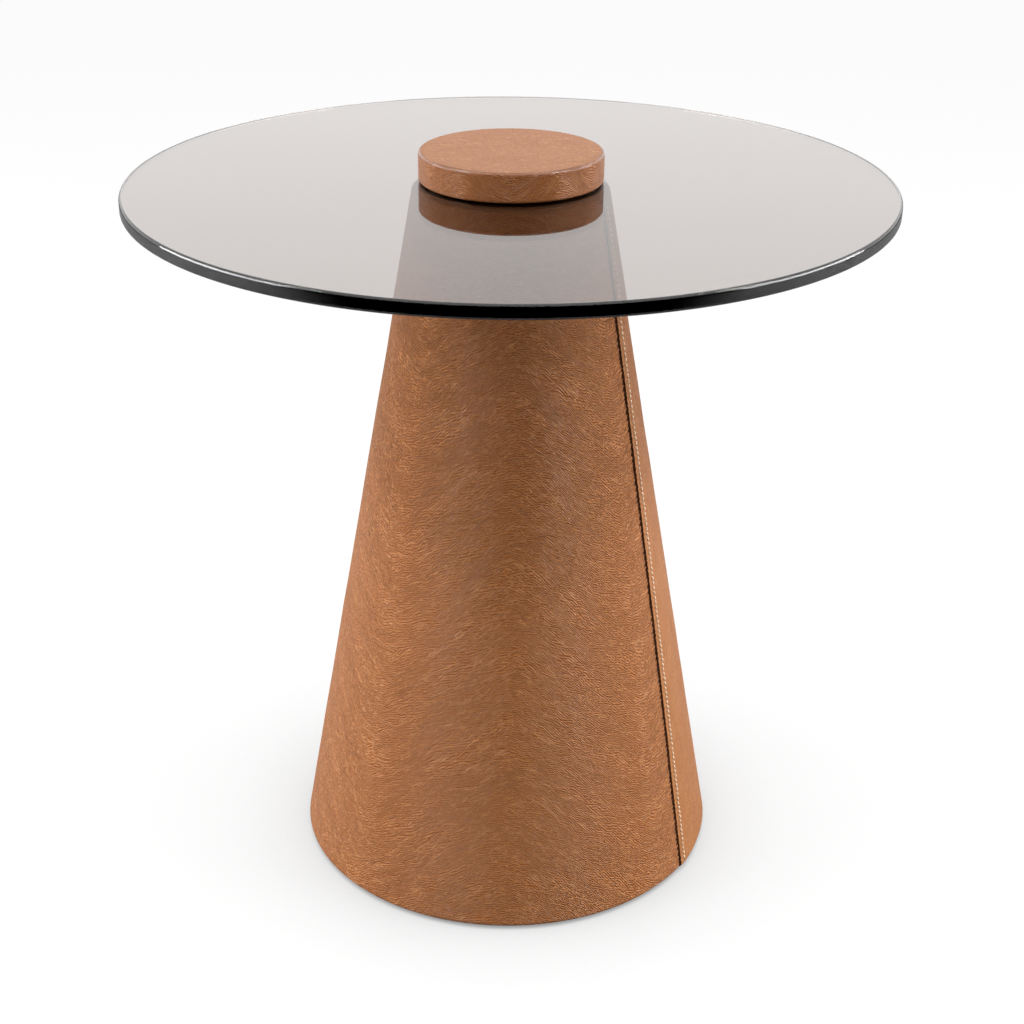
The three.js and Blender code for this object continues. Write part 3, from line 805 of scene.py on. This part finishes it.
def leather(name, depth, gloss, sheen, pitch):
    """Aniline leather: the grain is darker in its valleys and lighter on its ridges and folds, which is
    painted shade and painted highlight, and the colour drifts a little over the hide. Attributes mark its
    places: calm has a flatter grain and a paler colour, which on the cap's top is also painted light from
    above; edge is the dyed cut edge and its notches, whose darkness there is painted shade; lip is the
    rubbed border of the lapped end, lightened partly as a painted highlight; and burnish is leather that
    was rubbed down wet, which is glossier and darker, its darkening partly painted shade on the cap's side."""
    made, tree = new_material(name)
    flat = node(tree, "UVMap", {}, uv_map="flat_pattern").outputs[0]
    calm, edge, lip, burnish_and_shade = (
        node(tree, "Attribute", {}, attribute_name=key).outputs["Fac"]
        for key in ("calm", "edge", "lip", "burnish_and_shade")
    )
    height, folds = hide_grain(tree, flat, pitch)
    height = maths(tree, "MULTIPLY", height, maths(tree, "SUBTRACT", 1.0, calm))
    # Painted shade and highlight: darker down in the grain's valleys, lighter up on its ridges.
    colour = mixed(tree, ramp(tree, height, -0.3, 0.32), HIDE_DARK_AND_VALLEY_SHADE, HIDE_RIDGE_HIGHLIGHT)
    # Painted highlight: the thin folds are taken toward the pale tint.
    colour = tinted(tree, folds, FOLD_HIGHLIGHT, colour, HIDE_PALE_AND_HIGHLIGHT)
    drift = noise(tree, flat, 9, detail=3)
    colour = mixed(tree, ramp(tree, drift, 0.3, 0.7, 0.0, DRIFT_SHARE), colour, HIDE_DARK_AND_VALLEY_SHADE)
    # Calm leather is paler; on the cap's top this paleness is painted light from above.
    colour = tinted(tree, calm, CALM_PALE_AND_TOP_LIGHT, colour, HIDE_PALE_AND_HIGHLIGHT)
    # Burnished leather is darker; on the cap's side this darkening is also painted shade.
    colour = tinted(tree, burnish_and_shade, BURNISH_AND_SHADE_SHARE, colour, HIDE_BURNISHED_SHADE)
    # The lapped end's border: partly rubbed, paler leather, partly a painted highlight along its raised
    # edge.
    colour = tinted(tree, lip, LIP_RUB_AND_HIGHLIGHT, colour, HIDE_PALE_AND_HIGHLIGHT)
    # The cut edge's dye, and painted shade in the notches beside it.
    colour = mixed(tree, edge, colour, EDGE_DYE_AND_SHADE)
    worn = ramp(tree, height, -0.4, 0.4, VALLEY_ROUGHNESS, RIDGE_ROUGHNESS)
    roughness = maths(tree, "MULTIPLY_ADD", burnish_and_shade, BURNISH_SMOOTHING, worn)
    coat = ramp(tree, burnish_and_shade, 0.72, 0.92, 0.0, RIM_COAT)
    close_material(tree, colour, roughness, height, depth, Specular_IOR_Level=gloss, Sheen_Weight=sheen,
                   Sheen_Roughness=0.3, Coat_Weight=coat, Coat_Roughness=RIM_ROUGHNESS, Coat_IOR=RIM_IOR)
    return made


def set_attribute(piece, name, values):
    """Stores one value at each vertex of a piece, for its material to read."""
    attribute = piece.data.attributes.new(name, "FLOAT", "POINT")
    attribute.data.foreach_set("value", values)


points, uv, marks = cover_grid()
cone_cover = surface("cone_cover", points, uv)
for mark, values in marks.items():
    set_attribute(cone_cover, mark, values[:-1, :-1].astype(float).ravel())
cone_leather = leather("cone_leather", GRAIN_DEPTH, HIDE_GLOSS, HIDE_SHEEN, FOLD_PITCH)
fit(cone_cover, cone_leather, "pedestal", "leather", "leather_cover")


# Seam thread. Waxed linen, saddle-stitched by hand through both ends of the leather: short bars of thread
# that lie in the groove, each a little off its line.
STITCH_LENGTH = 0.003
STITCH_WIRE = 0.00092
STITCH_LEAN = 0.13
STITCH_LEAN_SPREAD = 0.03
STITCH_STRAY = 0.00008
STITCH_PROUD = 0.6
STITCH_ARCH = 0.0004
STITCH_END_GAP = 0.008
THREAD_TONE = (0.95, 0.79, 0.60, 1)
THREAD_SHADE = (0.62, 0.38, 0.22, 1)


def waxed_thread():
    """Two-ply twist, drawn as fine slanting bands."""
    made, tree = new_material("waxed_thread")
    place = node(tree, "TexCoord", {}).outputs["Object"]
    slanted = mapped(tree, place, turn=(0.6, 0.4, 0))
    twist = node(tree, "TexWave", {"Vector": slanted, "Scale": 420.0}).outputs["Fac"]
    colour = mixed(tree, twist, THREAD_TONE, THREAD_SHADE)
    close_material(tree, colour, roughness=0.6, height=twist, depth=0.0001)
    return made


def seam_frames(heights):
    """Places on the stitch line, with the directions along it, across it and outward."""
    offset = STITCH_INSET / side_radius(heights)
    azimuth = seam_azimuth(heights) + offset
    raised = COVER_THICKNESS * (1 - offset / LAP_FADE) - GROOVE_DEPTH
    reach = side_radius(heights) + raised
    places = np.stack([reach * np.cos(azimuth), reach * np.sin(azimuth), heights], 1)
    along = np.gradient(places, axis=0)
    along /= np.linalg.norm(along, axis=1)[:, None]
    outward = np.stack([np.cos(azimuth), np.sin(azimuth), cone_slope + 0 * azimuth], 1) / slant
    return places, along, np.cross(outward, along), outward


stitch_span = (CONE_TOP - CONE_BASE - 2 * STITCH_END_GAP) * slant
stitch_count = int(stitch_span / STITCH_PITCH)
heights = np.linspace(CONE_BASE + STITCH_END_GAP, CONE_TOP - STITCH_END_GAP, stitch_count)
places, along, across, outward = seam_frames(heights)
hand = np.random.default_rng(11).normal(0, 1, (stitch_count, 3))
leaning = along + across * (STITCH_LEAN + STITCH_LEAN_SPREAD * hand[:, :1])
leaning /= np.linalg.norm(leaning, axis=1)[:, None]
places = places + across * hand[:, 1:2] * STITCH_STRAY + outward * STITCH_WIRE * STITCH_PROUD
stitches = capsules("saddle_stitches", places, leaning, np.cross(outward, leaning), outward,
                    STITCH_LENGTH, STITCH_WIRE, arch=STITCH_ARCH)
fit(stitches, waxed_thread(), "pedestal", "thread", "seam_thread")


# Stud. A steel plate let into the top disc, with a threaded rod welded on that passes through the glass
# into the cap.
THREAD_PITCH = 0.0015
THREAD_DEPTH = 0.0008
THREAD_ROWS_PER_PITCH = 8
THREAD_RUN_OUT = 0.0025
FLANGE_THICKNESS = 0.004
STUD_RADIUS = 0.00485
ROD_START = 0.0018
ROD_END = 0.0012
WELD_WIDTH = 0.002
TIP_CHAMFER = 0.0006
flange_low, flange_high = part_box("stud_flange")


def stud_grid():
    """Plate and rod as one outline from the axis below to the axis above; on the rod the radius follows
    a saw-toothed wave that climbs one pitch in each turn."""
    plate_radius = (flange_high[0] - flange_low[0]) / 2
    plate_top = flange_low[2] + FLANGE_THICKNESS
    root = STUD_RADIUS - THREAD_DEPTH
    plate = rounded([
        (0, flange_low[2], 0),
        (plate_radius, flange_low[2], SHARP_BEND),
        (plate_radius, plate_top, 0.0005),
        (root + WELD_WIDTH, plate_top, 0),
    ], closed=False)
    fillet = np.array([(root + 0.0008, plate_top + 0.0003), (root, plate_top + 0.0012)])
    length = flange_high[2] - plate_top - (ROD_START + ROD_END)
    rows = int(length / THREAD_PITCH * THREAD_ROWS_PER_PITCH)
    rod = np.linspace(plate_top + ROD_START, flange_high[2] - ROD_END, rows)
    rod = np.stack([root + 0 * rod, rod], 1)
    tip = np.array([(root - TIP_CHAMFER, flange_high[2]), (0, flange_high[2])])
    outline = np.concatenate([plate, fillet, rod, tip])
    points = turned(outline, SIDES_SMALL)
    azimuth = np.linspace(0, 2 * math.pi, SIDES_SMALL + 1)
    climb = points[0, :, :, 2] / THREAD_PITCH - azimuth / (2 * math.pi)
    tooth = 1 - np.abs(2 * (climb % 1) - 1)
    above = outline[:, 1] - plate_top
    below = flange_high[2] - outline[:, 1]
    on_rod = (above > 0.9 * ROD_START) & (below > 0.9 * ROD_END)
    fade = np.clip(below / THREAD_RUN_OUT, 0, 1)
    stretch = 1 + (THREAD_DEPTH * tooth * (on_rod * fade)[:, None]) / np.maximum(outline[:, :1], root)
    points[0, :, :, :2] *= stretch[..., None]
    points[0, :, -1] = points[0, :, 0]
    return points


fit(surface("threaded_stud", stud_grid(), ring=False), plated, "pedestal", "steel", "stud_flange")


# Gasket. A soft black rubber ring that the glass lies on.
GASKET_BORE = 0.028
GASKET_BEND = 0.0005
RING_SIDES = 160
RUBBER_TONE = (0.010, 0.010, 0.010, 1)
RUBBER_BLOOM_TONE = (0.025, 0.024, 0.023, 1)


def rubber():
    """Matt rubber with a dusty bloom."""
    made, tree = new_material("rubber")
    place = node(tree, "TexCoord", {}).outputs["Object"]
    bloom = noise(tree, place, 300, detail=4, roughness=0.6)
    colour = mixed(tree, bloom, RUBBER_TONE, RUBBER_BLOOM_TONE)
    close_material(tree, colour, roughness=0.8, height=bloom, depth=0.00005)
    return made


def flat_ring(name, source, bore, bend, sides=RING_SIDES):
    """A ring with rounded edges that fills its node's box round a bore."""
    low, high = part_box(source)
    radius = (high[0] - low[0]) / 2
    outline = rounded([
        (bore, low[2], bend), (radius, low[2], bend), (radius, high[2], bend), (bore, high[2], bend),
    ])
    return surface(name, turned(outline, sides))


gasket = flat_ring("rubber_gasket", "lower_gasket", GASKET_BORE, GASKET_BEND)
fit(gasket, rubber(), "pedestal", "rubber", "lower_gasket")


# Glass. Toughened smoked glass, coloured through, so it is grey to look down through and almost black at
# its rounded, polished edge.
GLASS_EDGE_BEND = 0.002
GLASS_HOLE = 0.010
GLASS_HOLE_BEND = 0.0006
SLEEVE_BORE = 0.00555
GLASS_SIDES = 360
GLASS_PASSES = (0.37, 0.28, 0.23, 1)
GLASS_DENSITY = 90.0
GLASS_IOR = 1.7


def smoked_glass():
    """Clear surface over a body that takes in light; the surface keeps faint marks of wiping."""
    made, tree = new_material("smoked_glass")
    place = node(tree, "TexCoord", {}).outputs["Object"]
    wiped = mapped(tree, place, turn=(0, 0, 0.5), scale=(1, 5, 1))
    smear = noise(tree, wiped, 9, detail=4, roughness=0.6)
    inputs = {
        "Base Color": (1, 1, 1, 1),
        "Roughness": ramp(tree, smear, 0.45, 0.75, 0.0, 0.02),
        "IOR": GLASS_IOR,
        "Transmission Weight": 1.0,
    }
    clear = node(tree, "BsdfPrincipled", inputs)
    body = node(tree, "VolumeAbsorption", {"Color": GLASS_PASSES, "Density": GLASS_DENSITY})
    node(tree, "OutputMaterial", {"Surface": clear.outputs[0], "Volume": body.outputs[0]})
    return made


glass_low, glass_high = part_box("glass_top")
glass_radius = (glass_high[0] - glass_low[0]) / 2
glass_outline = rounded([
    (GLASS_HOLE, glass_low[2], GLASS_HOLE_BEND),
    (glass_radius, glass_low[2], GLASS_EDGE_BEND),
    (glass_radius, glass_high[2], GLASS_EDGE_BEND),
    (GLASS_HOLE, glass_high[2], GLASS_HOLE_BEND),
])
glass_disc = surface("glass_disc", turned(glass_outline, GLASS_SIDES))
fit(glass_disc, smoked_glass(), "glass_top", "glass", "glass_top")
sleeve = flat_ring("nylon_sleeve", "hole_sleeve", SLEEVE_BORE, SHARP_BEND, SIDES_SMALL)
fit(sleeve, black_nylon, "glass_top", "nylon", "hole_sleeve")


# Slip washer. A nylon ring between the glass and the cap, which the cap turns on.
WASHER_BORE = 0.012
WASHER_BEND = 0.0005

washer = flat_ring("nylon_washer", "slip_washer", WASHER_BORE, WASHER_BEND)
fit(washer, black_nylon, "slip_washer", "nylon", "slip_washer")


# Cap core. A turned fibreboard disc with a steel insert in its underside; felt covers the insert's plate.
FIBREBOARD_TONE = (0.40, 0.27, 0.16, 1)
FIBREBOARD_DARK = (0.28, 0.18, 0.10, 1)
FELT_TONE = (0.030, 0.026, 0.022, 1)
FELT_PALE = (0.075, 0.068, 0.06, 1)
FELT_BORE = 0.009
FELT_BEND = 0.0002
INSERT_BORE = 0.0052
INSERT_WALL = 0.003
INSERT_PLATE = 0.002
INSERT_BEND = 0.0004


def fibreboard():
    """Pressed wood fibres, lighter and darker."""
    made, tree = new_material("fibreboard")
    place = node(tree, "TexCoord", {}).outputs["Object"]
    fibres = noise(tree, place, 700, detail=5, roughness=0.7)
    colour = mixed(tree, fibres, FIBREBOARD_TONE, FIBREBOARD_DARK)
    close_material(tree, colour, roughness=0.85, height=fibres, depth=0.0001)
    return made


def pressed_felt():
    """Matted wool."""
    made, tree = new_material("pressed_felt")
    place = node(tree, "TexCoord", {}).outputs["Object"]
    wool = noise(tree, place, 1100, detail=5, roughness=0.75, distortion=0.8)
    colour = mixed(tree, wool, FELT_TONE, FELT_PALE)
    close_material(tree, colour, roughness=0.95, height=wool, depth=0.0004)
    return made


def insert_grid():
    """Plate and barrel of the insert as one closed outline round the stud's hole."""
    low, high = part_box("cap_insert")
    barrel = INSERT_BORE + INSERT_WALL
    plate = (high[0] - low[0]) / 2
    return turned(rounded([
        (INSERT_BORE, low[2], INSERT_BEND),
        (plate, low[2], INSERT_BEND),
        (plate, low[2] + INSERT_PLATE, SHARP_BEND),
        (barrel, low[2] + INSERT_PLATE, SHARP_BEND),
        (barrel, high[2], INSERT_BEND),
        (INSERT_BORE, high[2], INSERT_BEND),
    ]), SIDES_SMALL)


finish_node(fibreboard(), "cap_core")
fit(surface("steel_insert", insert_grid()), plated, "cap", "steel", "cap_insert")
fit(flat_ring("felt_pad", "cap_felt", FELT_BORE, FELT_BEND), pressed_felt(), "cap", "felt", "cap_felt")


# Cap cover. One disc of the same leather, wetted and pulled down over the core, so its side is drawn into
# slanting wrinkles; its edge is turned under and glued.
CAP_LEATHER = 0.0015
CAP_BEND = 0.0026
CAP_FOOT_BEND = 0.002
CAP_HEM = 0.014
CAP_SIDES = 360
CAP_ROW_SPACING = 0.0012
CAP_WAVE = 0.00012
CAP_WAVE_START = 0.02
CAP_FOLD_PITCH = 0.0014
CAP_CREASE_SLOPE = 1.0
CAP_CREASE_TURN = math.radians(60)
CAP_GRAIN_DEPTH = 0.0005
CAP_GLOSS = 0.3
CAP_TOP_CALM_AND_LIGHT = 0.25
CAP_BURNISH_AND_SHADE = 0.4
CAP_RIM_BURNISH_AND_SHADE = 0.6
CAP_BURNISH_AND_SHADE_START = 0.0004
cap_low, cap_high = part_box("cap_leather")
cap_radius = (cap_high[0] - cap_low[0]) / 2


def cap_grid():
    """The cap's cover as one closed shell: hem, side, top down to the axis, and the inner face back. The
    UV of the top is the flat disc that it is cut from. On the side it is distance round the cap and down
    it, bowed up and down six times, which is the way the wetted leather gathers there."""
    outer = rounded([
        (cap_radius - CAP_HEM, cap_low[2], 0),
        (cap_radius, cap_low[2], CAP_FOOT_BEND),
        (cap_radius, cap_high[2], CAP_BEND),
        (0, cap_high[2], 0),
    ], closed=False, spacing=CAP_ROW_SPACING)
    inner = rounded([
        (0, cap_high[2] - CAP_LEATHER, 0),
        (cap_radius - CAP_LEATHER, cap_high[2] - CAP_LEATHER, CAP_BEND - CAP_LEATHER),
        (cap_radius - CAP_LEATHER, cap_low[2] + CAP_LEATHER, CAP_FOOT_BEND - CAP_LEATHER),
        (cap_radius - CAP_HEM, cap_low[2] + CAP_LEATHER, 0),
    ], closed=False)
    outline = np.concatenate([outer, inner, outer[:1]])
    shown = np.concatenate([np.ones(len(outer)), np.zeros(len(inner)), np.ones(1)])
    travelled = np.concatenate([[0], np.cumsum(np.linalg.norm(np.diff(outline, axis=0), axis=1))])
    from_centre = np.abs(travelled[len(outer) - 1] - travelled)[:, None]
    azimuth = np.linspace(0, 2 * math.pi, CAP_SIDES + 1)
    points = turned(outline, CAP_SIDES)
    swell = CAP_WAVE * waves(travelled[:, None], azimuth[None], 8)
    hold = shown[:, None] * np.clip(from_centre / CAP_WAVE_START, 0, 1)
    near_side = np.abs(cap_radius - outline[:, :1]) < CAP_BEND
    drawn_in = -np.abs(swell) * hold * near_side
    points[0, :, :, 0] += drawn_in * np.cos(azimuth)
    points[0, :, :, 1] += drawn_in * np.sin(azimuth)
    points[0, :, -1] = points[0, :, 0]
    disc = np.stack([from_centre * np.cos(azimuth), from_centre * np.sin(azimuth)], -1)
    arch = np.arcsin(CREASE_ROUNDING * np.cos(2 * math.pi * (azimuth + math.pi / 2) / CAP_CREASE_TURN))
    bow = CAP_CREASE_SLOPE * CAP_CREASE_TURN / (2 * math.pi) * cap_radius * arch
    side = np.stack([cap_radius * azimuth + 0 * from_centre, bow - from_centre], -1)
    on_side = from_centre > cap_radius - CAP_BEND - SUPPORT / 2
    return points, np.where(on_side[..., None], side, disc)


points, uv = cap_grid()
cap_cover = surface("cap_cover", points, uv)
# Burnish mark of the cap: glossier rubbed leather on its side and rim, whose darker colour is partly
# painted shade.
below = cap_high[2] - mesh_points(cap_cover)[:, 2]
rubbed_and_shaded = CAP_BURNISH_AND_SHADE + CAP_RIM_BURNISH_AND_SHADE * np.exp(-((below / CAP_BEND) ** 2))
set_attribute(cap_cover, "burnish_and_shade", np.clip(below / CAP_BURNISH_AND_SHADE_START, 0, 1) * rubbed_and_shaded)
# The cap's top: a flatter grain, and a paler colour that is painted light from above.
set_attribute(cap_cover, "calm", CAP_TOP_CALM_AND_LIGHT * (below < 1e-5))
cap_hide = leather("cap_cover_leather", CAP_GRAIN_DEPTH, CAP_GLOSS, 0.0, CAP_FOLD_PITCH)
fit(cap_cover, cap_hide, "cap", "leather", "cap_leather")
